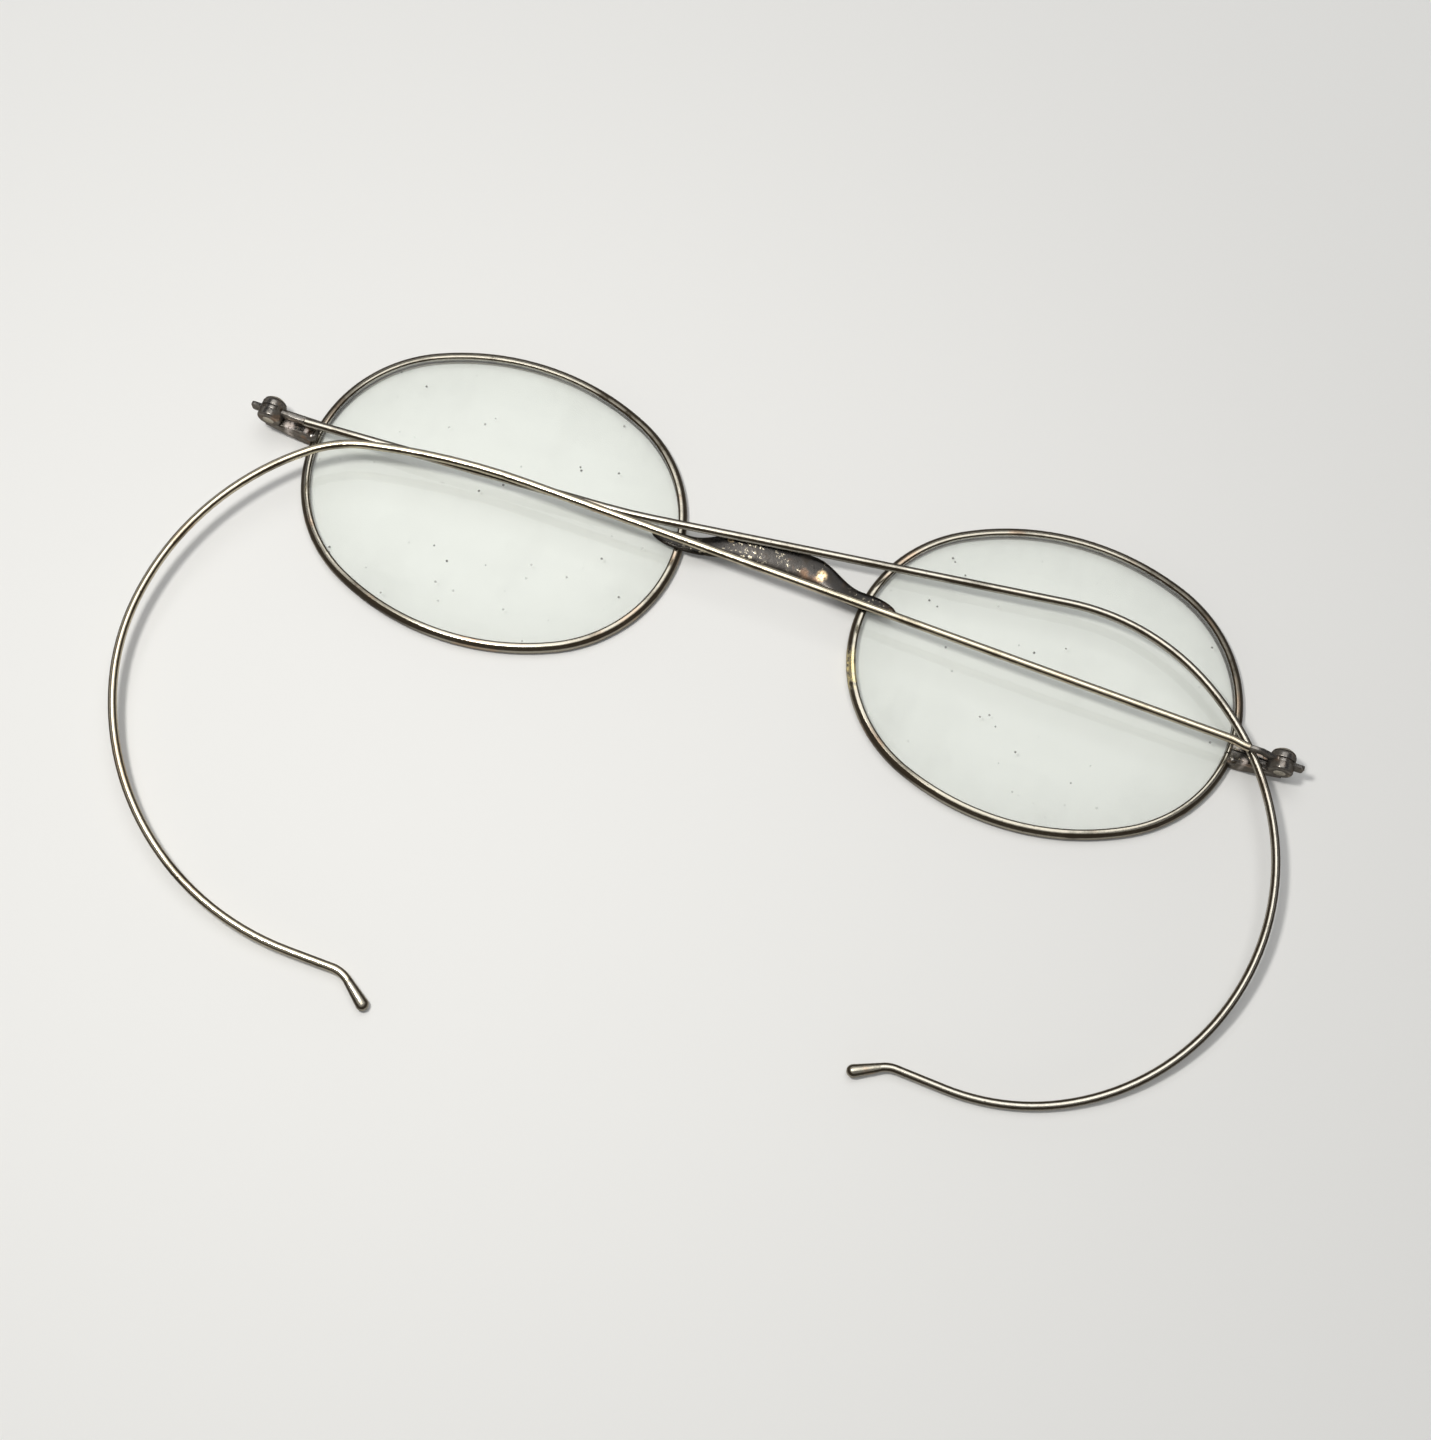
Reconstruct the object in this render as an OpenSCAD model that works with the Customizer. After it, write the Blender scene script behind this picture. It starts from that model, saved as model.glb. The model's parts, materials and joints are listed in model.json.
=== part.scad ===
// Antique wire-rim spectacles: oval lenses in grooved rims, a saddle bridge
// and curled ear hooks, folded and lying on the front faces of the rims.
// The origin is on the plane that the rims rest on, under the middle of the
// folded outline.
// +Z points at the wearer, +Y is up and +X is the wearer's right. Millimetres.

/* [Lenses] */
// Lens width from bevel tip to bevel tip
lens_w = 38.5; // [36:0.1:42]
// Lens height from bevel tip to bevel tip
lens_h = 30.7; // [29.5:0.1:33]
// Radius of the oval's two ends at the bevel tip
lens_end_r = 14.2; // [13:0.1:14.5]
// Distance between the lens centres
lens_pitch = 58.3; // [54:0.1:64]
// Turn of the left lens in its own plane
left_turn = -0.6; // [-4:0.1:4]
// Turn of the right lens in its own plane
right_turn = 3.6; // [-4:0.1:4]
// Lens thickness at the centre
lens_t = 0.95; // [0.8:0.05:1.2]
// Radius of the lens's front surface
lens_front_r = 500; // [450:10:900]
// Radius of the lens's hollow rear surface
lens_rear_r = 600; // [450:10:900]
// Height of the V bevel, also its width on the lens
bevel = 0.27; // [0.2:0.01:0.3]

/* [Rims] */
// Depth of the rim from front face to rear face
rim_depth = 1.3; // [1.2:0.05:1.6]
// Radius of the rounded outer side of the rim wire
rim_wire_r = 0.75; // [0.7:0.01:0.9]
// Reach of the rim outside the bevel tip
rim_out = 0.65; // [0.55:0.01:0.8]
// Reach of the rim inside the bevel tip
rim_in = 0.25; // [0.15:0.01:0.25]
// Gap between the rim wire's two ends at the hinge side
rim_split = 0.15; // [0.1:0.01:0.3]

/* [Bridge] */
// Height of the saddle strap at its crown
bridge_w = 2.9; // [2:0.1:3.6]
// Thickness of the saddle strap at its crown
bridge_t = 0.76; // [0.5:0.02:0.9]
// Lean of the crown, its top edge towards the wearer
bridge_tilt = 16; // [0:1:20]
// Height of the crown's centre above the lens centres
crown_y = 3.0; // [1.6:0.1:6]
// Distance of the crown's centre behind the rims' front
crown_z = 1.85; // [1.6:0.05:1.9]
// Half width of the level crown
crown_half = 3.5; // [2:0.1:5]
// Sideways shift of the bridge from the middle
bridge_shift = 0.15; // [-0.3:0.05:0.3]
// Height of the brazed foot
foot_w = 1.8; // [1.2:0.1:2.4]
// Thickness of the brazed foot
foot_t = 0.55; // [0.4:0.05:0.7]
// Height of the feet above the lens centres
foot_y = 1.6; // [0.8:0.1:2.4]
// Reach of the foot's point past the bevel tip
foot_reach = 2.95; // [2:0.05:4]

/* [Endpieces and hinges] */
// Length of the endpiece from the rim to the hinge axis
end_l = 4.15; // [3.6:0.05:5]
// Height of the hinge axis behind the rims' front
hinge_z = 3.15; // [3.05:0.05:3.4]
// Height of the left hinge's slot above the lens centres
left_hinge_y = 0.6; // [-1:0.1:2]
// Height of the right hinge's slot above the lens centres
right_hinge_y = -1.45; // [-3:0.05:0]
// Radius of the hinge barrels
barrel_r = 1.25; // [1.15:0.01:1.3]
// Reach of the upper endpiece half above the slot's middle
end_up = 0.98; // [0.8:0.01:1.2]
// Reach of the lower endpiece half below the slot's middle
end_down = 1.1; // [0.9:0.01:1.2]
// Radius of the endpieces' rounded edges
end_round = 0.3; // [0.1:0.05:0.4]
// Distance of the endpieces' rear face from the rims' front
end_rear = 2.45; // [2.2:0.05:2.45]
// Distance of the endpieces' front face from the rims' front
end_front = 0.35; // [0.1:0.05:0.5]
// Radius of the brazing bead on each lower endpiece half
bead_r = 0.53; // [0.4:0.01:0.56]
// Distance of the bead's centre below the slot's middle
bead_drop = 0.86; // [0.6:0.01:0.95]
// Height of the bead above the endpiece's rear face
bead_up = 0.08; // [0:0.01:0.15]
// Shank radius of the hinge screw
screw_r = 0.6; // [0.5:0.01:0.7]
// Head radius of the hinge screw
head_r = 1.15; // [1:0.01:1.2]
// Head height of the hinge screw
head_h = 0.5; // [0.4:0.05:0.7]
// Width of the driver slot
slot_w = 0.25; // [0.2:0.01:0.35]
// Depth of the driver slot
slot_d = 0.22; // [0.15:0.01:0.3]

/* [Temples] */
// Radius of the temple wire
wire_r = 0.43; // [0.38:0.01:0.46]
// Radius of the wires' bends behind their butts
jog_r = 4; // [3:0.5:6]
// Thickness of the flat temple butt
butt_t = 0.4; // [0.3:0.01:0.5]
// Length of the butt from the hinge axis to the round wire
butt_l = 3.6; // [3.4:0.1:4.2]
// Radius of the butt's eye
eye_r = 1.15; // [1:0.01:1.2]
// Half height of the butt at its heel and root
heel_half = 0.65; // [0.5:0.01:0.66]
// Reach of the heel past the hinge axis
heel_l = 2.15; // [1.8:0.05:2.2]
// Distance of the butt's knee from the hinge axis
knee_l = 2.3; // [2.2:0.05:2.6]
// Half height of the butt at its knee
knee_half = 0.47; // [0.42:0.01:0.5]
// Step of the right butt, which carries its wire over the left one
right_step = 1.2; // [1.1:0.05:1.6]
// Greatest radius of the drop-shaped tips
tip_r = 0.63; // [0.5:0.01:0.65]
// Radius of the bend before each tip
tip_bend_r = 3; // [2:0.5:5]

/* [Left ear hook] */
// Rise of the left wire away from the rims
left_rise = 0.05; // [0:0.05:0.2]
// Upward turn of the left wire behind its butt
left_up = 2.4; // [1:0.1:4]
// Length of the left wire before its long bend
left_first = 31.6; // [20:0.1:40]
// Radius of the left wire's long bend
left_long_r = 60; // [40:1:80]
// Upward turn in the left wire's long bend
left_long = 4.8; // [3:0.1:6]
// Distance from the right hinge to the start of the left hook
left_short = 24.0; // [22:0.1:27]
// Radius of the left hook's shoulder
left_r1 = 22; // [18:0.5:25]
// Turn of the left hook's shoulder
left_a1 = 39.4; // [34:0.1:44]
// Radius of the left hook's upper side
left_r2 = 26.5; // [23:0.5:30]
// Turn of the left hook's upper side
left_a2 = 35.8; // [30:0.1:40]
// Radius of the left hook's lower side
left_r3 = 25.5; // [22:0.5:28]
// Turn of the left hook's lower side
left_a3 = 43.6; // [38:0.1:48]
// Twist that lowers the left hook
left_drop = 8.4; // [8:0.1:8.6]
// Radius of the left hook's lower curl
left_r4 = 24; // [21:0.5:27]
// Turn of the left hook's lower curl
left_a4 = 43; // [38:0.1:48]
// Radius of the left hook's end
left_r5 = 22; // [19:0.5:25]
// Turn of the left hook's end
left_a5 = 28.8; // [24:0.1:33]
// Twist that levels the left hook's end
left_level = 3; // [2.8:0.1:4]
// Straight length before the left tip's bend
left_last = 4.7; // [3:0.1:6]
// Turn of the left tip
left_tip_a = 29.2; // [20:0.1:40]
// Length of the left tip
left_tip_l = 3.2; // [2.5:0.1:4]

/* [Right ear hook] */
// Rise of the right wire away from the rims
right_rise = 0.3; // [0.2:0.05:0.5]
// Upward turn of the right wire's jog
right_up = 11.6; // [8:0.1:13]
// Straight length inside the right wire's jog
right_jog_l = 0.6; // [0.4:0.1:2]
// Turn back of the right wire's jog
right_back = 9.8; // [7:0.1:10.5]
// Distance from the left hinge to the start of the right hook
right_short = 27.8; // [26:0.1:30]
// Radius of the right hook's long bend
right_r1 = 70.5; // [60:0.5:80]
// Turn of the right hook's long bend
right_a1 = 13.8; // [11:0.1:16]
// Radius of the right hook's shoulder
right_r2 = 12; // [9:0.5:15]
// Turn of the right hook's shoulder
right_a2 = 28.4; // [24:0.1:33]
// Radius of the right hook's upper side
right_r3 = 28; // [24:0.5:31]
// Turn of the right hook's upper side
right_a3 = 47.4; // [42:0.1:52]
// Twist that lowers the right hook
right_drop = 5.6; // [5.2:0.1:5.7]
// Radius of the right hook's lower side
right_r4 = 23; // [20:0.5:26]
// Turn of the right hook's lower side
right_a4 = 20.8; // [17:0.1:25]
// Twist that eases the right hook's fall
right_level = 2; // [1.9:0.1:4]
// Radius of the right hook's lower curl
right_r5 = 27.5; // [24:0.5:31]
// Turn of the right hook's lower curl
right_a5 = 70.4; // [64:0.1:76]
// Straight length before the right tip's bend
right_last = 4.5; // [3:0.1:6]
// Turn of the right tip
right_tip_a = 36.8; // [28:0.1:45]
// Length of the right tip
right_tip_l = 3.3; // [2.5:0.1:4]

/* [Fits] */
// Gap between pieces that are brazed or seated
seat_gap = 0.02; // [0.01:0.005:0.03]
// Gap at each side of the butt in the hinge slot
slot_gap = 0.03; // [0.02:0.005:0.05]
// Radial clearance of the hinge screw in the butt and upper half
screw_fit = 0.02; // [0.015:0.005:0.04]
// Clearance around the butt's eye and heel in the endpiece
swing_gap = 0.07; // [0.05:0.01:0.1]

/* [Hidden] */
$fn = 64;
// Half axes, flat-arc radius and the angle where the oval's arcs join
half_w = lens_w / 2;
half_h = lens_h / 2;
side_x = half_w - lens_end_r;
flat_r = (half_w * half_w + half_h * half_h - 2 * half_w * lens_end_r) / (2 * (half_h - lens_end_r));
flat_y = flat_r - half_h;
join_a = atan2(flat_y, side_x);
rim_z = rim_depth / 2;
lens_x = lens_pitch / 2;
nasal_x = lens_x - half_w;
hinge_x = lens_x + half_w + rim_out + end_l;
// The lens's front touches its lowest point just above the resting plane
lens_front = seat_gap;
lens_back_edge = lens_front + lens_t + half_w * half_w / (2 * lens_rear_r);
foot_z = max(rim_depth, lens_back_edge) + seat_gap;
slot_half = butt_t / 2 + slot_gap;
big = 60;
rim_steps = 72;
wire_sides = 12;
bend_step = 5;

// Point on the oval grown by d, where its outward normal stands at angle a
function oval_pt(a, d) = abs(cos(a)) > cos(join_a)
    ? [sign(cos(a)) * side_x + (lens_end_r + d) * cos(a), (lens_end_r + d) * sin(a)]
    : [(flat_r + d) * cos(a), (flat_r + d) * sin(a) - sign(sin(a)) * flat_y];

// Angle on the hinge side where the turned oval passes height y
function split_a(turn, y) = asin((y - side_x * sin(turn)) / lens_end_r) - turn;

// Angles of the rim's sections, from its upper end round to its lower end
function rim_angles(turn, y) = let(
        a0 = split_a(turn, y + rim_split / 2),
        a1 = split_a(turn, y - rim_split / 2) + 360)
    [for (i = [0:rim_steps]) a0 + (a1 - a0) * i / rim_steps];

// Walls between neighbouring rings of n points each, closed round the ring
function walls(rings, n) = [for (i = [0:rings - 2]) for (j = [0:n - 1]) let(
        a = i * n + j,
        b = i * n + (j + 1) % n)
    for (f = [[a, b, b + n], [a, b + n, a + n]]) f];
// Fans over the first and the last ring, from each ring's first point
function end_caps(rings, n) = let(o = (rings - 1) * n) [for (j = [1:n - 2]) for (f = [[0, j + 1, j],
    [o, o + j, o + j + 1]]) f];

// Section of the rim wire as [outwards, along Z] about the bevel tip
rim_arc = asin(rim_z / rim_wire_r);
rim_section = concat(
    [[seat_gap, 0], [-rim_in, -rim_in - seat_gap], [-rim_in, -rim_z]],
    [for (i = [-4:4]) [rim_out - rim_wire_r + rim_wire_r * cos(rim_arc * i / 4), rim_wire_r * sin(rim_arc * i / 4)]],
    [[-rim_in, rim_z], [-rim_in, rim_in + seat_gap]]);

// Grooved rim wire, open at the hinge side
module rim(turn, hinge_y) {
    angles = rim_angles(turn, hinge_y);
    n = len(rim_section);
    pts = [for (a = angles) for (q = rim_section) let(p = oval_pt(a, q[0])) [p[0], p[1], q[1]]];
    translate([lens_x, 0, rim_z]) rotate([0, 0, turn])
        polyhedron(points = pts, faces = concat(end_caps(len(angles), n), walls(len(angles), n)), convexity = 6);
}

// Meniscus lens with a V bevel, its sections in line with the rim's
module lens(turn, hinge_y) {
    angles = rim_angles(turn, hinge_y);
    n = len(angles);
    shares = [0.02, 0.4, 0.75, 1];
    front = [for (k = shares) for (a = angles) let(p = k * oval_pt(a, -bevel))
        [p[0], p[1], lens_front + p * p / (2 * lens_front_r)]];
    edge = [for (q = [[-bevel, -bevel], [0, 0], [-bevel, bevel]]) for (a = angles) let(p = oval_pt(a, q[0]))
        [p[0], p[1], rim_z + q[1]]];
    rear = [for (k = [1, 0.75, 0.4, 0.02]) for (a = angles) let(p = k * oval_pt(a, -bevel))
        [p[0], p[1], lens_front + lens_t + p * p / (2 * lens_rear_r)]];
    rings = 2 * len(shares) + 3;
    translate([lens_x, 0, 0]) rotate([0, 0, turn])
        polyhedron(points = concat(front, edge, rear), faces = concat(end_caps(rings, n), walls(rings, n)),
            convexity = 4);
}

// Hinge side of a rim's outside as a full sweep, grown by g
module rim_seat(turn, g) {
    translate([lens_x, 0, rim_z]) rotate([0, 0, turn])
        translate([side_x, 0, 0]) rotate([0, 0, -join_a])
            rotate_extrude(angle = 2 * join_a, $fn = 180)
                translate([lens_end_r, 0])
                    intersection() {
                        translate([rim_out - rim_wire_r, 0]) circle(rim_wire_r + g);
                        translate([-rim_in - g, -rim_z - g]) square([rim_in + rim_out + 2 * g, rim_depth + 2 * g]);
                    }
}

// Smooth step from 0 to 1
function ease(k) = let(c = min(1, max(0, k))) c * c * (3 - 2 * c);
function sgn_pow(v, p) = sign(v) * pow(abs(v), p);

// The saddle strap, lofted through sections that lean, narrow and turn into feet
module saddle() {
    rings = 36;
    sides = 20;
    square_p = 0.75;
    half = nasal_x + foot_reach;
    foot_x = nasal_x - rim_out - seat_gap - foot_t / 2;
    point_x = nasal_x;
    pts = [for (i = [0:rings]) let(
            x = -half * cos(180 * i / rings),
            b = ease((abs(x) - crown_half) / (foot_x - crown_half)),
            k = max(0, (abs(x) - point_x) / (half - point_x)),
            leaf = pow(max(0, 1 - k * k), 0.7) + 0.08 * k,
            w = (bridge_w + (foot_w - bridge_w) * b) * leaf,
            t = (bridge_t + (foot_t - bridge_t) * b) * (0.4 + 0.6 * leaf),
            lean = bridge_tilt * (1 - b),
            y = crown_y + (foot_y - crown_y) * b,
            z = crown_z + (foot_z + t / 2 - crown_z) * b)
        for (j = [0:sides - 1]) let(
            u = w / 2 * sgn_pow(cos(360 * j / sides), square_p),
            v = t / 2 * sgn_pow(sin(360 * j / sides), square_p))
        [x + bridge_shift, y + u * cos(lean) - v * sin(lean), z + u * sin(lean) + v * cos(lean)]];
    polyhedron(points = pts, faces = concat(end_caps(rings + 1, sides), walls(rings + 1, sides)), convexity = 4);
}

// Cylinder along Y with rounded edges, from y0 to y1, round only at outer end
module barrel(y0, y1) {
    len = y1 - y0;
    translate([0, y0, 0]) rotate([-90, 0, 0])
        rotate_extrude() {
            square([barrel_r, len - end_round]);
            square([barrel_r - end_round, len]);
            translate([barrel_r - end_round, len - end_round]) circle(end_round);
        }
}

// Side view of the endpiece, x from the hinge axis and y along Z
module end_profile() {
    run = end_l - rim_out;
    px = -run;
    d = sqrt(run * run + (hinge_z - end_front) * (hinge_z - end_front));
    t_a = atan2(end_front - hinge_z, px) + acos(barrel_r / d);
    polygon([[-end_l - rim_out, end_front], [px, end_front],
        [barrel_r * cos(t_a), hinge_z + barrel_r * sin(t_a)],
        [0, end_rear], [-end_l - rim_out, end_rear]]);
}

// One half of a split endpiece, above the slot when up is 1, below when -1
module endpiece(up, turn, hinge_y) {
    reach = up > 0 ? end_up : end_down;
    difference() {
        translate([hinge_x, hinge_y, 0]) mirror([0, up > 0 ? 0 : 1, 0]) {
            intersection() {
                translate([0, reach, 0]) rotate([90, 0, 0]) linear_extrude(height = reach - rim_split / 2) end_profile();
                translate([-end_l - rim_out - 1, 0, 0]) rotate([90, 0, 90])
                    linear_extrude(height = end_l + rim_out + barrel_r + 2) {
                        square([reach - end_round, end_rear]);
                        square([reach, end_rear - end_round]);
                        translate([reach - end_round, end_rear - end_round]) circle(end_round);
                    }
            }
            translate([0, 0, hinge_z]) barrel(0, reach);
            if (up < 0)
                translate([-end_l - rim_out / 2, bead_drop, end_rear + bead_up - bead_r]) sphere(bead_r);
        }
        translate([hinge_x, hinge_y, 0]) {
            translate([-heel_half - swing_gap, -slot_half, -1]) cube([big, 2 * slot_half, big]);
            translate([0, slot_half, hinge_z]) rotate([90, 0, 0]) cylinder(r = eye_r + swing_gap, h = 2 * slot_half);
            translate([0, big / 2, hinge_z]) rotate([90, 0, 0])
                cylinder(r = screw_r + (up > 0 ? screw_fit : screw_fit / 2), h = big);
        }
        rim_seat(turn, seat_gap);
    }
}

// Screw with a slotted dome head above the upper half
module hinge_screw(hinge_y) {
    dome_r = (head_r * head_r + head_h * head_h) / (2 * head_h);
    translate([hinge_x, hinge_y, hinge_z]) {
        translate([0, end_up + seat_gap, 0]) rotate([90, 0, 0])
            cylinder(r = screw_r, h = end_up + seat_gap + end_down);
        difference() {
            translate([0, end_up + seat_gap, 0]) rotate([-90, 0, 0])
                rotate_extrude()
                    intersection() {
                        translate([0, head_h - dome_r]) circle(dome_r, $fn = 120);
                        square([head_r, head_h]);
                    }
            translate([0, end_up + seat_gap + head_h, 0])
                rotate([0, 35, 0]) cube([3 * head_r, 2 * slot_d, slot_w], center = true);
        }
    }
}

// Flat butt: eye, heel that stops the opening at a right angle, and tongue
module temple_butt(step, hinge_y) {
    translate([hinge_x, hinge_y + butt_t / 2, hinge_z]) rotate([90, 0, 0])
        linear_extrude(height = butt_t)
            difference() {
                union() {
                    circle(eye_r);
                    translate([0, -heel_half]) square([heel_l - end_round, 2 * heel_half]);
                    translate([0, end_round - heel_half]) square([heel_l, 2 * (heel_half - end_round)]);
                    for (s = [-1, 1])
                        translate([heel_l - end_round, s * (heel_half - end_round)]) circle(end_round);
                    polygon([[0, heel_half], [-knee_l, step + knee_half], [-butt_l, step + wire_r],
                        [-butt_l, step - wire_r], [-knee_l, step - knee_half], [0, -heel_half]]);
                }
                circle(screw_r + screw_fit);
            }
}

// Turns about X and Z
function turn_x(a) = [[1, 0, 0], [0, cos(a), -sin(a)], [0, sin(a), cos(a)]];
function turn_y(a) = [[cos(a), 0, sin(a)], [0, 1, 0], [-sin(a), 0, cos(a)]];
function turn_z(a) = [[cos(a), -sin(a), 0], [sin(a), cos(a), 0], [0, 0, 1]];

// Frames [point, turn] along a wire that starts at frame f and follows rows of
// [length, radius, turn, twist]. A turn above 0 bends the wire clockwise, towards
// -Y, after its twist about its own line.
function frames(rows, f, i = 0) = i == len(rows) ? [f] : let(
        r = rows[i],
        m = f[1] * turn_x(r[3]),
        s = sign(r[2]),
        n = ceil(abs(r[2]) / bend_step),
        next = r[0] > 0
            ? [f[0] + m * [r[0], 0, 0], m]
            : bent(f[0], m, s * r[1], r[2]),
        mids = r[0] > 0 ? [] : [for (k = [1:1:n - 1]) bent(f[0], m, s * r[1], r[2] * k / n)])
    concat([[f[0], m]], mids, frames(rows, next, i + 1));
function bent(p, m, r, a) = [p + m * ([0, -r, 0] + turn_z(-a) * [0, r, 0]), m * turn_z(-a)];

// Round wire through its frames
module wire(path) {
    pts = [for (f = path) for (j = [0:wire_sides - 1])
        f[0] + f[1] * [0, wire_r * cos(360 * j / wire_sides), wire_r * sin(360 * j / wire_sides)]];
    polyhedron(points = pts, faces = concat(end_caps(len(path), wire_sides), walls(len(path), wire_sides)),
        convexity = 10);
}

module at_frame(f) {
    m = f[1];
    p = f[0];
    multmatrix([
        [m[0][0], m[0][1], m[0][2], p[0]],
        [m[1][0], m[1][1], m[1][2], p[1]],
        [m[2][0], m[2][1], m[2][2], p[2]]]) children();
}

// Frame where a temple's wire leaves its butt, drawn as the left temple's
function butt_frame(step, hinge_y, rise) =
    [[butt_l + seat_gap - hinge_x, hinge_y, hinge_z + step], turn_y(-rise)];

left_run = 2 * hinge_x - left_short - butt_l - left_first - left_long_r * sin(left_long);
left_rows = [
    [0, jog_r, -left_up, 0],
    [left_first, 0, 0, 0],
    [0, left_long_r, -left_long, 0],
    [left_run, 0, 0, 0],
    [0, left_r1, left_a1, 0],
    [0, left_r2, left_a2, 0],
    [0, left_r3, left_a3, left_drop],
    [0, left_r4, left_a4, -left_drop],
    [0, left_r5, left_a5, -left_level],
    [left_last, 0, 0, 0],
    [0, tip_bend_r, -left_tip_a, 0]];
right_run = 2 * hinge_x - right_short - butt_l - right_jog_l - jog_r * (sin(right_up) + sin(right_back));
right_rows = [
    [0, jog_r, -right_up, 0],
    [right_jog_l, 0, 0, 0],
    [0, jog_r, right_back, 0],
    [right_run, 0, 0, 0],
    [0, right_r1, right_a1, 0],
    [0, right_r2, right_a2, 0],
    [0, right_r3, right_a3, right_drop],
    [0, right_r4, right_a4, -right_level],
    [0, right_r5, right_a5, 0],
    [right_last, 0, 0, 0],
    [0, tip_bend_r, -right_tip_a, 0]];

left_path = frames(left_rows, butt_frame(0, left_hinge_y, left_rise));
right_path = frames(right_rows, butt_frame(right_step, right_hinge_y, right_rise));

// Middle of the folded outline: ear hooks at the sides, right tip below, rims above
function tip_end(path, l) = let(f = path[len(path) - 1]) f[0] + f[1] * [l - tip_r, 0, 0];
x_low = -max([for (f = right_path) f[0][0]]) - wire_r;
x_high = max([for (f = left_path) f[0][0]]) + wire_r;
y_low = tip_end(right_path, right_tip_l)[1] - tip_r;
y_high = half_h + rim_out;
middle = [round(-5 * (x_low + x_high)) / 10, round(-5 * (y_low + y_high)) / 10, 0];
module placed() { translate(middle) children(); }

// Drop-shaped end of the wire
module tip(l) {
    rotate([0, 90, 0]) cylinder(r1 = wire_r, r2 = tip_r, h = l - tip_r);
    translate([l - tip_r, 0, 0]) sphere(tip_r);
}

gold = [0.72, 0.6, 0.4];
nickel = [0.6, 0.57, 0.5];

module left_rim() { color(nickel) placed() mirror([1, 0, 0]) rim(-left_turn, left_hinge_y); }
module right_rim() { color(nickel) placed() rim(right_turn, right_hinge_y); }
module left_lens() { color([0.8, 0.88, 0.86, 0.4]) placed() mirror([1, 0, 0]) lens(-left_turn, left_hinge_y); }
module right_lens() { color([0.8, 0.88, 0.86, 0.4]) placed() lens(right_turn, right_hinge_y); }
module bridge() { color([0.55, 0.5, 0.42]) placed() saddle(); }
module left_endpiece_top() { color(nickel) placed() mirror([1, 0, 0]) endpiece(1, -left_turn, left_hinge_y); }
module left_endpiece_bottom() { color(nickel) placed() mirror([1, 0, 0]) endpiece(-1, -left_turn, left_hinge_y); }
module right_endpiece_top() { color(nickel) placed() endpiece(1, right_turn, right_hinge_y); }
module right_endpiece_bottom() { color(nickel) placed() endpiece(-1, right_turn, right_hinge_y); }
module left_hinge_screw() { color(gold) placed() mirror([1, 0, 0]) hinge_screw(left_hinge_y); }
module right_hinge_screw() { color(gold) placed() hinge_screw(right_hinge_y); }
module left_temple_butt() { color(nickel) placed() mirror([1, 0, 0]) temple_butt(0, left_hinge_y); }
module right_temple_butt() { color(nickel) placed() temple_butt(right_step, right_hinge_y); }
module left_temple_wire() { color(gold) placed() wire(left_path); }
module right_temple_wire() { color(gold) placed() mirror([1, 0, 0]) wire(right_path); }
module left_temple_tip() { color(nickel) placed() at_frame(left_path[len(left_path) - 1]) tip(left_tip_l); }
module right_temple_tip() {
    color(nickel) placed() mirror([1, 0, 0]) at_frame(right_path[len(right_path) - 1]) tip(right_tip_l);
}

left_rim();
right_rim();
left_lens();
right_lens();
bridge();
left_endpiece_top();
left_endpiece_bottom();
right_endpiece_top();
right_endpiece_bottom();
left_hinge_screw();
right_hinge_screw();
left_temple_butt();
right_temple_butt();
left_temple_wire();
right_temple_wire();
left_temple_tip();
right_temple_tip();
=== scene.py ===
"""Antique wire-rim spectacles: rims, lenses, saddle bridge, hinges and curled
temples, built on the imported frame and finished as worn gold-filled metal."""

import json
import math

import bmesh
import bpy
from bpy.props import FloatProperty, FloatVectorProperty, IntProperty, PointerProperty
from mathutils import Euler, Matrix, Vector


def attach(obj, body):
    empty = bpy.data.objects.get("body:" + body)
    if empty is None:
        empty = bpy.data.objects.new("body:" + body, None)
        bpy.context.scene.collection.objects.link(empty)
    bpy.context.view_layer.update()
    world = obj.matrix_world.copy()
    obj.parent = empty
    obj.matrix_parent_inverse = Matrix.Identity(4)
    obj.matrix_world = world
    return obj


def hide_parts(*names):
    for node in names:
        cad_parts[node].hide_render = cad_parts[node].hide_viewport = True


bl_info = {
    "name": "Wire-rim spectacles",
    "version": (1, 0, 0),
    "blender": (4, 5, 0),
    "location": "3D View > Sidebar > Spectacles",
    "description": "Models antique wire-rim spectacles with curled temples",
    "category": "Add Mesh",
}

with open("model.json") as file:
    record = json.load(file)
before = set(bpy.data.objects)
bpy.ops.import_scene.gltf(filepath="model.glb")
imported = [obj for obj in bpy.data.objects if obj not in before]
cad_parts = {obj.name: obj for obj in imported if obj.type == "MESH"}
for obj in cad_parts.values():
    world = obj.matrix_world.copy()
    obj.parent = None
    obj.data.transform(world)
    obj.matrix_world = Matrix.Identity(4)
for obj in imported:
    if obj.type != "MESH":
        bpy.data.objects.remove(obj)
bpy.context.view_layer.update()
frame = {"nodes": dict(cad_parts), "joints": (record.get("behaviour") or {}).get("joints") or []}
MM = 0.001
# Each side with the sign of its X
SIDES = {"left": -1, "right": 1}
HINGE = {j["name"].split("_")[0]: Vector(j["pos_m"]) for j in frame["joints"]}
# Middle between the two hinges, on the plane that the rims rest on
MIDDLE = Vector((0.8 * MM, 18.5 * MM, 0))
# Degrees from one ring to the next in a bend, and how far apart in metres two
# points may be to be welded, in a swept piece and in a copy of a CAD mesh
BEND_STEP = 2.5
WELD = 1e-7
COPY_WELD = 1e-6


# ---------------------------------------------------------------- settings


def length(name, text, value):
    return FloatProperty(
        name=name, description=text, default=value * MM, unit="LENGTH", precision=5
    )


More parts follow.
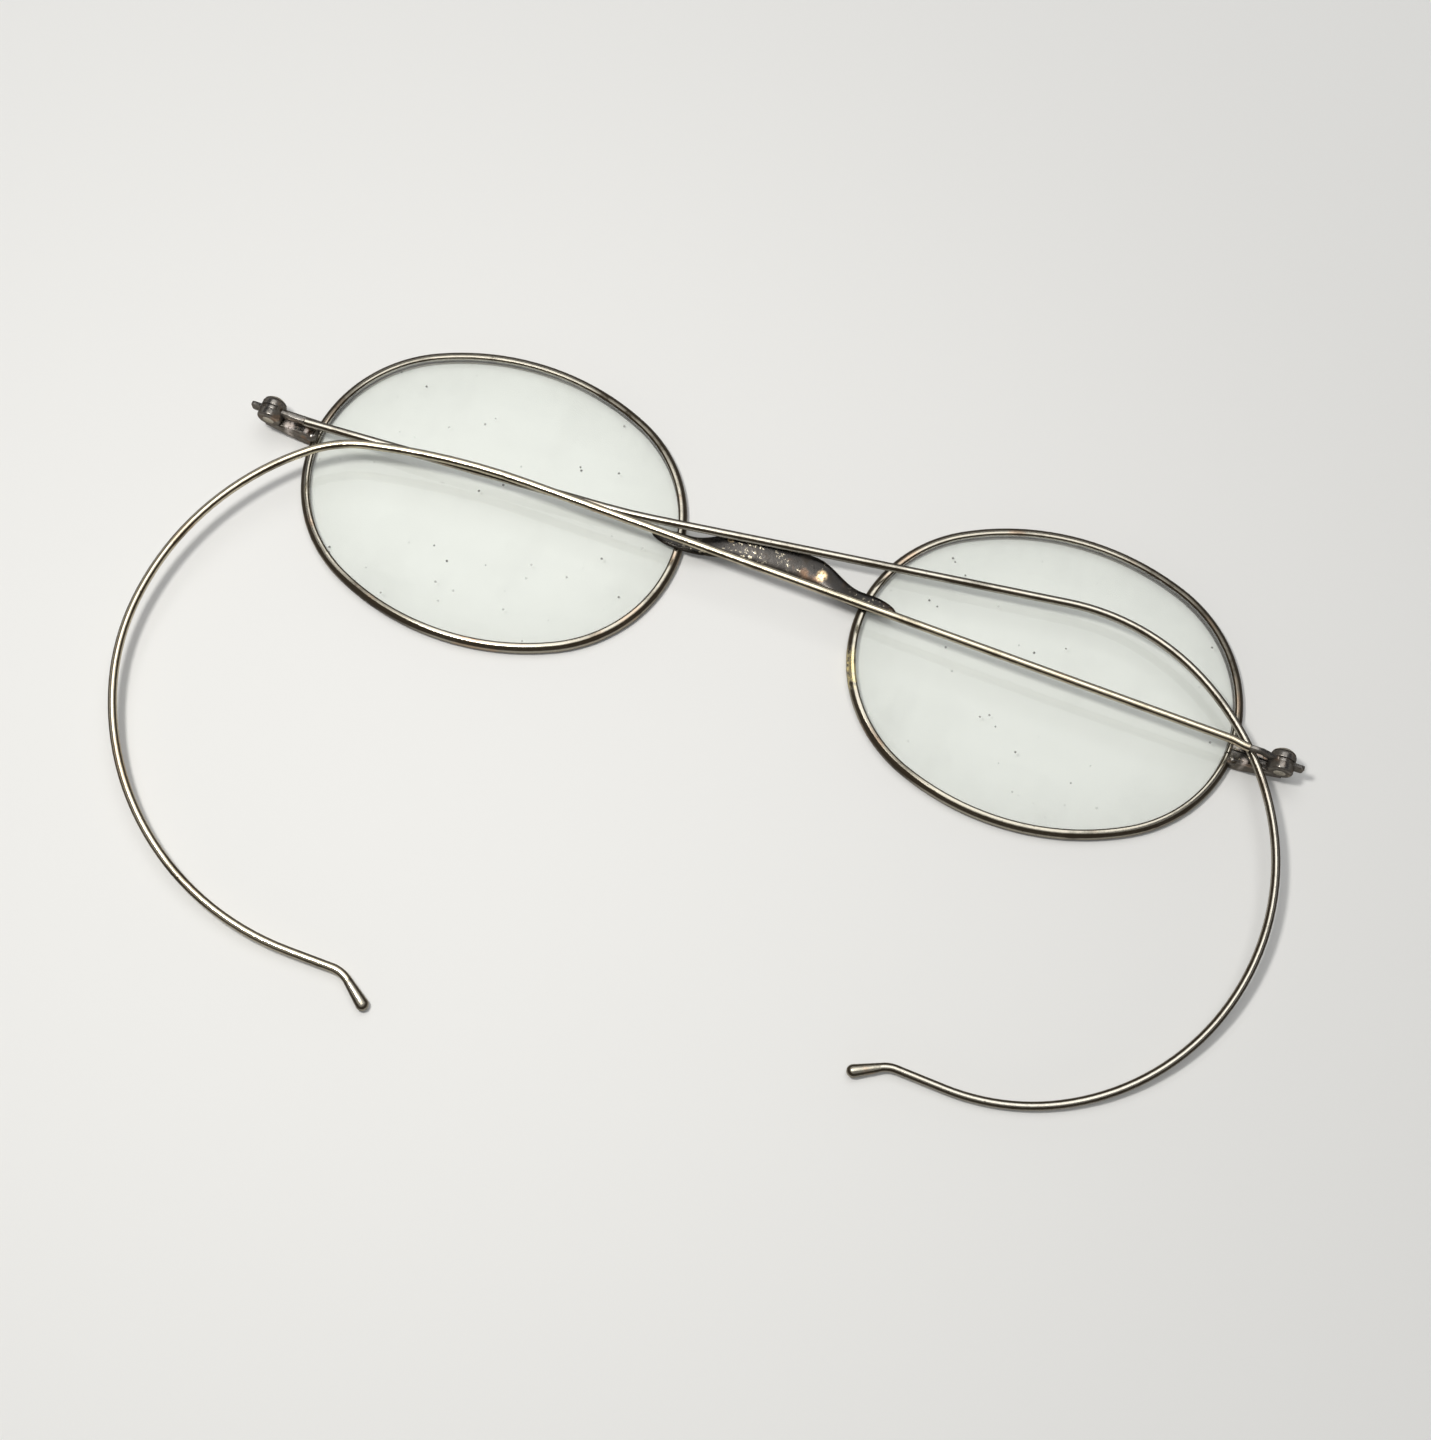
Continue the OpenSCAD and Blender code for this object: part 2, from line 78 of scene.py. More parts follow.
def angle(name, text, value):
    return FloatProperty(
        name=name, description=text, default=math.radians(value), unit="ROTATION"
    )


def share(name, text, value):
    return FloatProperty(name=name, description=text, default=value, min=0, max=1, subtype="FACTOR")


def colour(name, text, value):
    return FloatVectorProperty(
        name=name, description=text, default=value, size=3, subtype="COLOR", min=0, max=1
    )


class RimSettings(bpy.types.PropertyGroup):
    lens_w: length("Lens width", "Width of the oval between bevel tips", 38.5)
    lens_h: length("Lens height", "Height of the oval between bevel tips", 30.7)
    end_r: length("End radius", "Radius of the oval's two ends", 14.2)
    pitch: length("Lens pitch", "Distance between the lens centres", 58.3)
    left_turn: angle("Left turn", "Turn of the left rim in its own plane", -0.6)
    right_turn: angle("Right turn", "Turn of the right rim in its own plane", 3.6)
    out: length("Outer reach", "Reach of the rim outside the bevel tip", 0.65)
    inner: length("Inner reach", "Reach of the rim inside the bevel tip", 0.25)
    groove: length("Groove", "Depth and half width of the V groove", 0.27)
    depth: length("Depth", "Depth of the rim from front to rear", 1.3)
    outer_round: length("Outer rounding", "Rounding of the rim's outer corners", 0.62)
    inner_round: length("Inner rounding", "Rounding of the corners beside the groove", 0.21)
    split: length("Split", "Gap between the rim wire's two ends", 0.15)


class TempleSettings(bpy.types.PropertyGroup):
    wire_r: length("Wire radius", "Radius of the temple wire", 0.43)
    butt_l: length("Butt length", "From the hinge axis to the round wire", 3.62)
    seat: length("Seat", "Gap between the butt and the wire, in place of solder", 0.02)
    step: length("Right step", "Height that carries the right wire over the left one", 1.2)
    left_rise: angle("Left rise", "Slope of the left wire away from the rims", 0.05)
    right_rise: angle("Right rise", "Slope of the right wire away from the rims", 0.3)
    tip_r: length("Tip radius", "Greatest radius of the drop-shaped tips", 0.63)
    sides: IntProperty(name="Sides", description="Points round the wire", default=24, min=8, max=64)


class FinishSettings(bpy.types.PropertyGroup):
    gold: colour("Gold", "Polished gold-filled wire", (0.86, 0.77, 0.58))
    nickel: colour("Nickel", "Left temple and screws, where the gold is thin", (0.64, 0.60, 0.51))
    rim: colour("Rim", "Polished rims under their tarnish", (0.52, 0.485, 0.4))
    steel: colour("Worn metal", "Hinges where the base metal shows", (0.24, 0.225, 0.205))
    # The strap colour is partly its own dark metal and partly painted shade
    strap: colour("Strap", "Dark metal of the saddle bridge", (0.036, 0.034, 0.032))
    # Brown film colour, also used for the painted shade along the metal's sides
    tarnish_and_painted_shade: colour("Tarnish", "Brown film in hollows and along the sides", (0.034, 0.026, 0.017))
    copper: colour("Copper", "Warm base metal in worn places", (0.72, 0.36, 0.16))
    dust: colour("Dust", "Dried haze and dust on the lenses", (0.80, 0.82, 0.79))
    haze: share("Haze", "Cover of the dried haze on the lenses", 0.04)
    floor: colour("Floor", "Plain pale floor", (0.80, 0.80, 0.78))


# Radius of the bends behind the butts, turns of the right wire's jog, and radius
# and turn of the left wire's long bend, in millimetres and degrees
JOG_R = 4
JOG_UP, JOG_BACK = 11.6, 9.8
LONG_R, LONG_TURN = 60, 4.8
# Wires as rows of length, radius, turn and twist, where None is the long run that
# fills what the rest leaves. A turn above 0 bends the wire clockwise, seen from
# the wearer's side.
HOOKS = {
    "left": [
        (0, JOG_R, -2.4, 0),
        (31.6, 0, 0, 0),
        (0, LONG_R, -LONG_TURN, 0),
        (None, 0, 0, 0),
        (0, 22, 39.4, 0),
        (0, 26.5, 35.8, 0),
        (0, 25.5, 43.6, 8.4),
        (0, 24, 43, -8.4),
        (0, 22, 28.8, -3),
        (4.7, 0, 0, 0),
        (0, 3, -29.2, 0),
    ],
    "right": [
        (0, JOG_R, -JOG_UP, 0),
        (0.6, 0, 0, 0),
        (0, JOG_R, JOG_BACK, 0),
        (None, 0, 0, 0),
        (0, 70.5, 13.8, 0),
        (0, 12, 28.4, 0),
        (0, 28, 47.4, 5.6),
        (0, 23, 20.8, -2),
        (0, 27.5, 70.4, 0),
        (4.5, 0, 0, 0),
        (0, 3, -36.8, 0),
    ],
}
# Distance in millimetres from the far hinge to the start of each hook, and the
# length of each tip
SHORT = {"left": 24.0, "right": 27.8}
TIP_LENGTH = {"left": 3.2, "right": 3.3}
# Angles of the rings on a tip's round end, in degrees
DOME = (12, 24, 36, 48, 60, 72, 82)
# Painted highlights as x, y and radius, in millimetres on the plan: golden ones
# on the rims, and bright spots on the strap and the endpieces
RIM_PAINTED_HIGHLIGHTS = {"left": ((-50.3, 12.6, 2.2), (-48, 9.9, 1.2)), "right": ((10.9, 12.9, 3),)}
STRAP_PAINTED_HIGHLIGHTS = ((5.7, 21.1, 0.7), (-4.1, 21.8, 0.45))
END_PAINTED_HIGHLIGHTS = ((-50.4, 18.5, 0.8), (-48.6, 18.5, 0.4), (50.6, 16.3, 0.5))
# Stretches of the rims that are painted darker, in the same way
RIM_DARKER_STRETCHES = {
    "left": ((-17.9, 30.6, 9), (-35.9, 3.6, 8), (-47.4, 23.5, 4)),
    "right": ((39.8, 32.2, 8), (46.4, 26.8, 8), (17.6, 5.5, 6)),
}
# Upward share of the normal at which a wire turns from the painted shade along
# its sides to its bright crest
BROAD_CREST = (0.78, 0.98)
NARROW_CREST = (0.88, 0.995)

# Floor, lights and camera, in millimetres, watts and degrees. The lift is what
# the floor glows near the object and beyond the reach of the lamp.
FLOOR_SIDE = 6000
LIFT_NEAR, LIFT_FAR = 0.05, 0.53
LIFT_REACH = (60, 420)
LAMP = {"place": (-56, -28, 215), "size": (30, 30), "power": 0.27}
LAMP_COLOUR = (1, 0.98, 0.95)
PANEL = {"place": (-49, 187, 600), "size": (500, 620), "power": 1.65}
CAMERA_PLACE = (16.458, -61.293, 195.705)
CAMERA_TURN = (18.849, -1.752, 18.934)
CAMERA_LENS = 52.5
# Surroundings by height, from the pale horizon to the dim ceiling
SKY = ((0.1, (0.75, 0.75, 0.74)), (0.3, (0.35, 0.35, 0.35)), (0.5, (0.1, 0.1, 0.105)))


# ------------------------------------------------------- modelling helpers


def deselect():
    """Leave edit mode and select nothing."""
    if bpy.context.mode != "OBJECT":
        bpy.ops.object.mode_set(mode="OBJECT")
    bpy.ops.object.select_all(action="DESELECT")


def take(obj):
    """Make obj the only selected and the active object."""
    deselect()
    obj.select_set(True)
    bpy.context.view_layer.objects.active = obj
    return obj


def named(name):
    """Name the object that was just added and apply its place."""
    obj = bpy.context.object
    obj.name = obj.data.name = name
    bpy.ops.object.transform_apply(location=True, rotation=True, scale=True)
    return obj


def choose(obj, kind, test):
    """Select in edit mode the vertices, edges or faces that pass test."""
    bpy.ops.mesh.select_mode(type=kind)
    bpy.ops.mesh.select_all(action="DESELECT")
    mesh = bmesh.from_edit_mesh(obj.data)
    for part in {"VERT": mesh.verts, "EDGE": mesh.edges, "FACE": mesh.faces}[kind]:
        if test(part):
            part.select_set(True)
    bmesh.update_edit_mesh(obj.data)


def mid(part):
    """Middle of an edge or a face's corners."""
    return sum((v.co for v in part.verts), Vector()) / len(part.verts)


def close_ends(obj):
    """Fill the open ends of a swept tube and turn its faces outwards."""
    bpy.ops.mesh.select_mode(type="EDGE")
    bpy.ops.mesh.select_all(action="DESELECT")
    bpy.ops.mesh.select_non_manifold()
    bpy.ops.mesh.fill_holes(sides=0)
    bpy.ops.mesh.select_all(action="SELECT")
    bpy.ops.mesh.normals_make_consistent(inside=False)
    bpy.ops.object.mode_set(mode="OBJECT")


def smooth(obj, degrees):
    take(obj)
    bpy.ops.object.shade_smooth_by_angle(angle=math.radians(degrees))


def copy_of(node, name):
    """A copy of a CAD node's mesh, as a new object, with its points welded and
    its flat faces joined."""
    deselect()
    obj = bpy.data.objects.new(name, frame["nodes"][node].data.copy())
    obj.data.name = name
    obj.data.materials.clear()
    bpy.context.scene.collection.objects.link(obj)
    take(obj)
    bpy.ops.object.mode_set(mode="EDIT")
    bpy.ops.mesh.select_mode(type="VERT")
    bpy.ops.mesh.select_all(action="SELECT")
    bpy.ops.mesh.remove_doubles(threshold=COPY_WELD)
    bpy.ops.mesh.dissolve_limited(angle_limit=math.radians(0.5))
    bpy.ops.object.mode_set(mode="OBJECT")
    return obj


def soften(obj, width, segments=2, limit=32):
    """Round the sharp edges, as years of handling do."""
    take(obj)
    bevel = obj.modifiers.new("Worn edges", "BEVEL")
    bevel.width = width * MM
    bevel.segments = segments
    bevel.limit_method = "ANGLE"
    bevel.angle_limit = math.radians(limit)
    bevel.use_clamp_overlap = True
    bpy.ops.object.modifier_apply(modifier=bevel.name)


def finish_piece(obj, material, body, node):
    """Give the piece its finish, and let it stand for its CAD node."""
    obj.data.materials.clear()
    obj.data.materials.append(material)
    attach(obj, body)
    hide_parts(node)
    deselect()


# ---------------------------------------------------------------- finishes


class Sock:
    """A node's output. Arithmetic on it adds Math nodes."""

    def __init__(self, finish, socket):
        self.finish = finish
        self.socket = socket

    def math(self, operation, *values, clamp=False):
        settings = {"operation": operation, "use_clamp": clamp}
        return self.finish.node("ShaderNodeMath", settings, dict(enumerate(values)))

    def __add__(self, other):
        return self.math("ADD", self, other)

    def __sub__(self, other):
        return self.math("SUBTRACT", self, other)

    def __rsub__(self, other):
        return self.math("SUBTRACT", other, self)

    def __mul__(self, other):
        return self.math("MULTIPLY", self, other)

    def __truediv__(self, other):
        return self.math("DIVIDE", self, other)

    def __rtruediv__(self, other):
        return self.math("DIVIDE", other, self)

    def __pow__(self, other):
        return self.math("POWER", self, other)

    def __abs__(self):
        return self.math("ABSOLUTE", self)

    __radd__ = __add__
    __rmul__ = __mul__

    def most(self, other):
        return self.math("MAXIMUM", self, other)

    def clamped(self):
        return self.math("ADD", self, 0, clamp=True)

    def between(self, low, high):
        """0 below low and 1 above high, with a smooth step between."""
        settings = {"interpolation_type": "SMOOTHSTEP"}
        values = {"Value": self, "From Min": low, "From Max": high}
        return self.finish.node("ShaderNodeMapRange", settings, values)


class Finish:
    """A material that is put together from nodes."""

    def __init__(self, name):
        self.material = bpy.data.materials.new(name)
        self.material.use_nodes = True
        self.tree = self.material.node_tree
        self.tree.nodes.clear()
        # Object coordinates in millimetres
        coordinates = self.node("ShaderNodeTexCoord", output="Object")
        self.point = self.vector("SCALE", {0: coordinates, "Scale": 1 / MM})

    def node(self, kind, settings=None, values=None, output=0):
        node = self.tree.nodes.new(kind)
        for key, value in (settings or {}).items():
            setattr(node, key, value)
        for key, value in (values or {}).items():
            self.feed(node.inputs[key], value)
        return Sock(self, node.outputs[output])

    def vector(self, operation, values, output="Vector"):
        return self.node("ShaderNodeVectorMath", {"operation": operation}, values, output)

    def shifted(self, shift, stretch=(1, 1, 1)):
        """The point, moved and stretched, so that patterns don't coincide."""
        values = {"Vector": self.point, "Location": (shift, shift, shift), "Scale": stretch}
        return self.node("ShaderNodeMapping", {"vector_type": "POINT"}, values)

    def feed(self, socket, value):
        if isinstance(value, Sock):
            self.tree.links.new(value.socket, socket)
        elif socket.type == "RGBA" and len(value) == 3:
            socket.default_value = (*value, 1)
        else:
            socket.default_value = value

    def noise(self, size, detail=3, rough=0.55, stretch=(1, 1, 1), shift=0):
        """Noise whose lumps are about size millimetres across."""
        place = self.shifted(shift, stretch)
        values = {"Vector": place, "Scale": 1 / size, "Detail": detail, "Roughness": rough}
        return self.node("ShaderNodeTexNoise", {}, values)

    def specks(self, size, radius, shift=0):
        """1 on scattered round specks, 0 between them. They are about size
        millimetres apart, and radius is a share of that."""
        place = self.shifted(shift)
        near = self.node("ShaderNodeTexVoronoi", {}, {"Vector": place, "Scale": 1 / size})
        return 1 - near.between(radius * 0.6, radius)

    def near(self, x, y, radius):
        """1 over a point of the plan and 0 beyond the radius, in millimetres."""
        plan = self.vector("MULTIPLY", {0: self.point, 1: (1, 1, 0)})
        reach = self.vector("DISTANCE", {0: plan, 1: (x, y, 0)}, "Value")
        return 1 - reach.between(radius * 0.3, radius)

    def mix(self, factor, a, b):
        """Colour a where factor is 0 and colour b where it is 1."""
        # Sockets 6, 7 and 2 are the node's colours, beside those of other kinds
        return self.node("ShaderNodeMix", {"data_type": "RGBA"}, {0: factor, 6: a, 7: b}, output=2)

    def upward(self):
        """How far the surface faces along the piece's Z, from 0 to 1."""
        normal = self.node("ShaderNodeTexCoord", output="Normal")
        z = self.node("ShaderNodeSeparateXYZ", {}, {"Vector": normal}, output="Z")
        return abs(z)

    def bump(self, height, depth):
        """Normal of a surface whose height changes by depth millimetres."""
        values = {"Height": height, "Distance": depth * MM, "Strength": 1}
        return self.node("ShaderNodeBump", {}, values)

    def principled(self, **values):
        names = {k.replace("_", " "): v for k, v in values.items()}
        return self.node("ShaderNodeBsdfPrincipled", {}, names)

    def show(self, shader):
        out = self.tree.nodes.new("ShaderNodeOutputMaterial")
        self.tree.links.new(shader.socket, out.inputs["Surface"])
        return self.material


def metal(
    name, bright, patch, rough, dents, painted_side_shade=1.0, copper_share=0.3, rubbed=0.3,
    painted_highlights=(), glow=(1, 1, 1), crest=BROAD_CREST, darker_stretches=(), highlight_matt=0.0,
):
    """Worn gold-filled metal: bright along its crest, with painted shade in brown
    along its sides, brown in patches about patch millimetres across, copper where
    the gold is gone, with fine scratches, pits and dents. Each painted highlight
    and each stretch painted darker is given as x, y and radius in millimetres.
    A matt share makes the painted highlights matt, so that they look bright
    from every side."""
    s = bpy.context.scene.spectacle_finish
    f = Finish(name)
    patches = f.noise(patch, detail=4, rough=0.6)
    scratches = f.noise(0.12, detail=2, rough=0.6, shift=7) - 0.5
    pitted = f.noise(1.7, detail=2, rough=0.5, shift=11).between(0.5, 0.62)
    pits = f.specks(0.5, radius=0.16, shift=3) * pitted
    up = f.upward()
    # Painted shade beside the crest; the flanks get less of it and mirror the floor
    side = (1 - up.between(*crest)) * (0.35 + up.between(0.3, 0.6) * 0.65)
    # The film adds the painted shade along the sides to the brown film in patches, pits and
    # scratches
    film = side * painted_side_shade + patches.between(0.5, 0.72) * 0.4 + pits * 0.5 + scratches * 0.3
    # Listed stretches painted darker
    for x, y, radius in darker_stretches:
        film = film + f.near(x, y, radius) * (0.25 + patches * 0.6)
    warm = f.noise(patch * 1.6, detail=3, rough=0.6, shift=23).between(0.56, 0.7)
    handled = f.noise(3, detail=2, rough=0.5, shift=53).between(0.45, 0.6)
    worn = f.noise(0.4, detail=4, rough=0.7, shift=41).between(0.56, 0.68) * handled
    tone = f.mix(warm * copper_share, tuple(bright), tuple(s.copper))
    tone = f.mix(worn * rubbed, tone, tuple(s.gold))
    matt = 0
    # Painted highlights: brighter spots in their own colour, with less film, made matt by the matt
    # share
    for x, y, radius in painted_highlights:
        broken = f.noise(0.5, detail=4, rough=0.7, shift=61)
        painted_highlight = f.near(x, y, radius) * broken.between(0.36, 0.62 - highlight_matt * 0.15) * 0.85
        film = film * (1 - painted_highlight)
        tone = f.mix(painted_highlight, tone, glow)
        matt = matt + painted_highlight * highlight_matt
    film = film.clamped()
    tone = f.mix(film, tone, tuple(s.tarnish_and_painted_shade))
    height = patches * dents + scratches * 0.06 - pits * 0.4
    return f.show(f.principled(
        Base_Color=tone,
        Metallic=(1 - film * 0.9) * (1 - matt),
        Roughness=(rough + film * 0.3 + scratches * 0.12).clamped(),
        Specular_IOR_Level=0.2,
        Specular_Tint=(0.15, 0.12, 0.09, 1),
        Normal=f.bump(height, depth=0.02),
    ))


def glass(name, sign):
    """Clear old glass, greyer towards the rim, with a dried haze in clouds,
    faint wiping marks and dark specks of dirt."""
    s = bpy.context.scene.spectacle_finish
    rim = bpy.context.scene.spectacle_rims
    f = Finish(name)
    centre = Vector((MIDDLE.x + sign * rim.pitch / 2, MIDDLE.y, 0)) / MM
    local = f.vector("SUBTRACT", {0: f.point, 1: tuple(centre)})
    split = f.node("ShaderNodeSeparateXYZ", {}, {"Vector": local}).socket.node
    x = Sock(f, split.outputs["X"])
    y = Sock(f, split.outputs["Y"])
    half_w, half_h = rim.lens_w / 2 / MM, rim.lens_h / 2 / MM
    # 0 at the lens's centre and 1 at its edge
    reach = (x * x / half_w**2 + y * y / half_h**2) ** 0.5
    wisps = f.noise(6, stretch=(1, 0.6, 1), shift=31)
    # Greyer towards the rim
    edge = reach.between(0.55, 1.0) * (0.35 + wisps * 1.1)
    wipes = f.noise(2.2, detail=2, rough=0.5, stretch=(0.2, 1, 1), shift=5)
    cloud = wisps.between(0.45, 0.75)
    haze = 0.15 + edge * 2.2 + cloud * 0.8 + wipes.between(0.45, 0.75) * 0.3
    dirty = f.noise(7, detail=2, rough=0.5, shift=17).between(0.42, 0.6)
    specks = f.specks(1.9, radius=0.085, shift=13) * dirty
    cover = (s.haze * haze + specks * 0.7).clamped()
    tint = f.node("ShaderNodeBsdfTransparent", {}, {"Color": (0.99, 1, 0.99)})
    dirt = f.mix(specks, tuple(s.dust), tuple(s.tarnish_and_painted_shade))
    film = f.principled(Base_Color=dirt, Roughness=0.7, Specular_IOR_Level=0.2)
    dusty = f.node("ShaderNodeMixShader", {}, {0: cover, 1: tint, 2: film})
    back = f.node("ShaderNodeNewGeometry", output="Backfacing")
    # The narrow ground edge is matt, so only the faces shine, dulled by grease
    faces = f.upward().between(0.955, 0.985)
    shine = f.node("ShaderNodeFresnel", {}, {"IOR": 1.5}) * (1 - back) * faces * 0.6
    mirror = f.principled(Base_Color=(1, 1, 1), Metallic=1.0, Roughness=0.03)
    return f.show(f.node("ShaderNodeMixShader", {}, {0: shine, 1: dusty, 2: mirror}))


# -------------------------------------------------------------------- rims


def split_angle(rim, turn, y):
    """Angle on the hinge side where the turned oval passes height y."""
    side_x = rim.lens_w / 2 - rim.end_r
    return math.asin((y - side_x * math.sin(turn)) / rim.end_r) - turn


def rim_section(name, rim):
    """Loop of the rim wire's section where the oval crosses its long axis:
    round outside, flat in front and behind, with a V groove inside."""
    deselect()
    x0 = rim.lens_w / 2 - rim.inner
    x1 = rim.lens_w / 2 + rim.out
    place = ((x0 + x1) / 2, 0, rim.depth / 2)
    bpy.ops.mesh.primitive_plane_add(size=1, location=place, rotation=(math.pi / 2, 0, 0))
    obj = bpy.context.object
    obj.scale = (x1 - x0, rim.depth, 1)
    named(name)
    bpy.ops.object.mode_set(mode="EDIT")
    tiny = 0.01 * MM
    choose(obj, "VERT", lambda v: v.co.x > x1 - tiny)
    bpy.ops.mesh.bevel(
        offset=rim.outer_round, segments=9, affect="VERTICES", clamp_overlap=False
    )
    choose(obj, "VERT", lambda v: v.co.x < x0 + tiny)
    bpy.ops.mesh.bevel(offset=rim.inner_round, segments=4, affect="VERTICES")
    choose(obj, "EDGE", lambda e: abs(mid(e).x - x0) < tiny)
    bpy.ops.mesh.subdivide(number_cuts=3)
    choose(obj, "VERT", lambda v: abs(v.co.x - x0) < tiny and abs(v.co.z - rim.depth / 2) < tiny)
    bpy.ops.transform.translate(value=(rim.groove, 0, 0))
    bpy.ops.mesh.select_mode(type="FACE")
    bpy.ops.mesh.select_all(action="SELECT")
    bpy.ops.mesh.delete(type="ONLY_FACE")
    bpy.ops.object.mode_set(mode="OBJECT")
    return obj


def sweep_oval(obj, rim, a0, a1):
    """Spin the section along the oval's five arcs, from its upper end round
    to its lower end at the hinge side."""
    half_w, half_h = rim.lens_w / 2, rim.lens_h / 2
    side_x = half_w - rim.end_r
    flat_r = (half_w**2 + half_h**2 - 2 * half_w * rim.end_r) / (2 * (half_h - rim.end_r))
    flat_y = flat_r - half_h
    join = math.atan2(flat_y, side_x)
    # The section swings about the side arc's centre to the start of the rim
    centre = Matrix.Translation((side_x, 0, 0))
    obj.matrix_world = centre @ Matrix.Rotation(a0, 4, "Z") @ centre.inverted()
    take(obj)
    bpy.ops.object.transform_apply(location=True, rotation=True, scale=True)
    bpy.ops.object.mode_set(mode="EDIT")
    bpy.ops.mesh.select_mode(type="VERT")
    bpy.ops.mesh.select_all(action="SELECT")
    arcs = [
        (side_x, 0, join - a0),
        (0, -flat_y, math.pi - 2 * join),
        (-side_x, 0, 2 * join),
        (0, flat_y, math.pi - 2 * join),
        (side_x, 0, join + a1),
    ]
    for x, y, turn in arcs:
        steps = max(2, round(math.degrees(turn) / BEND_STEP))
        bpy.ops.mesh.spin(steps=steps, angle=-turn, center=(x, y, 0), axis=(0, 0, 1))
    bpy.ops.mesh.select_all(action="SELECT")
    bpy.ops.mesh.remove_doubles(threshold=WELD)
    close_ends(obj)


class SPECTACLES_OT_rims(bpy.types.Operator):
    """Bend the two grooved rims from wire, split at the hinge side"""

    bl_idname = "spectacles.rims"
    bl_label = "Rims"

    def execute(self, context):
        rim = context.scene.spectacle_rims
        s = context.scene.spectacle_finish
        for side, sign in SIDES.items():
            turn = getattr(rim, f"{side}_turn")
            y = HINGE[side].y - MIDDLE.y
            obj = rim_section(f"rim_{side}", rim)
            # The rim is spun with its hinge on the right, then mirrored at the left
            own = sign * turn
            a0 = split_angle(rim, own, y + rim.split / 2)
            a1 = split_angle(rim, own, y - rim.split / 2)
            sweep_oval(obj, rim, a0, a1)
            obj.location = (MIDDLE.x + sign * rim.pitch / 2, MIDDLE.y, 0)
            obj.rotation_euler = (0, 0, turn)
            obj.scale = (sign, 1, 1)
            take(obj)
            bpy.ops.object.transform_apply(location=True, rotation=True, scale=True)
            bpy.ops.object.mode_set(mode="EDIT")
            bpy.ops.mesh.select_all(action="SELECT")
            bpy.ops.mesh.normals_make_consistent(inside=False)
            bpy.ops.object.mode_set(mode="OBJECT")
            smooth(obj, 35)
            # Rims with painted golden highlights, stretches painted darker and painted shade along
            # their sides
            material = metal(
                f"Rim wire {side}", s.rim, patch=3.5, rough=0.18, dents=0.5, painted_highlights=RIM_PAINTED_HIGHLIGHTS[side],
                glow=(0.95, 0.78, 0.36), crest=(0.9, 0.995), darker_stretches=RIM_DARKER_STRETCHES[side],
            )
            finish_piece(obj, material, "front", f"{side}_rim")
        return {"FINISHED"}


class SPECTACLES_OT_lenses(bpy.types.Operator):
    """Set the two bevelled lenses in their grooves"""

    bl_idname = "spectacles.lenses"
    bl_label = "Lenses"

    def execute(self, context):
        for side, sign in SIDES.items():
            obj = copy_of(f"{side}_lens", f"lens_{side}")
            smooth(obj, 20)
            material = glass(f"Old glass {side}", sign)
            finish_piece(obj, material, "front", f"{side}_lens")
        return {"FINISHED"}


# ------------------------------------------------- bridge, ends and hinges


class SPECTACLES_OT_bridge(bpy.types.Operator):
    """Round the saddle bridge off into one smooth strap"""

    bl_idname = "spectacles.bridge"
    bl_label = "Saddle bridge"

    def execute(self, context):
        s = context.scene.spectacle_finish
        obj = copy_of("bridge", "saddle_bridge")
        bpy.ops.object.mode_set(mode="EDIT")
        bpy.ops.mesh.select_all(action="SELECT")
        bpy.ops.mesh.tris_convert_to_quads(
            face_threshold=math.radians(60), shape_threshold=math.radians(90)
        )
        bpy.ops.object.mode_set(mode="OBJECT")
        rounder = obj.modifiers.new("Rounder", "SUBSURF")
        rounder.levels = rounder.render_levels = 1
        bpy.ops.object.modifier_apply(modifier=rounder.name)
        smooth(obj, 50)
        # The strap's listed spots are painted highlights in a warm colour
        material = metal(
            # Its colour is darkened partly as painted shade
            "Saddle strap", s.strap, patch=2.2, rough=0.26, dents=1.4, painted_side_shade=0.5,
            copper_share=0.1, rubbed=0.8, painted_highlights=STRAP_PAINTED_HIGHLIGHTS, glow=(1, 0.74, 0.42),
        )
        finish_piece(obj, material, "front", "bridge")
        return {"FINISHED"}


class SPECTACLES_OT_endpieces(bpy.types.Operator):
    """Dress the four halves of the split endpieces"""

    bl_idname = "spectacles.endpieces"
    bl_label = "Endpieces"

    def execute(self, context):
        s = context.scene.spectacle_finish
        # Painted highlights on the endpieces, made matt so that they look bright from every side
        material = metal(
            "Endpiece metal", s.steel, patch=0.9, rough=0.24, dents=1.6, painted_side_shade=0.7,
            copper_share=0.25, rubbed=0.5, painted_highlights=END_PAINTED_HIGHLIGHTS, glow=(0.96, 0.85, 0.78), highlight_matt=0.8,
        )
        for side in SIDES:
            for half in ("top", "bottom"):
                obj = copy_of(f"{side}_endpiece_{half}", f"endpiece_{side}_{half}")
                soften(obj, width=0.07)
                smooth(obj, 30)
                finish_piece(obj, material, "front", f"{side}_endpiece_{half}")
        return {"FINISHED"}


class SPECTACLES_OT_screws(bpy.types.Operator):
    """Turn the slotted hinge screws"""

    bl_idname = "spectacles.screws"
    bl_label = "Hinge screws"

    def execute(self, context):
        s = context.scene.spectacle_finish
        material = metal(
            "Screw metal", s.nickel, patch=0.6, rough=0.3, dents=0.6, painted_side_shade=0.6
        )
        for side in SIDES:
            obj = copy_of(f"{side}_hinge_screw", f"screw_{side}")
            soften(obj, width=0.04)
            smooth(obj, 30)
            finish_piece(obj, material, "front", f"{side}_hinge_screw")
        return {"FINISHED"}


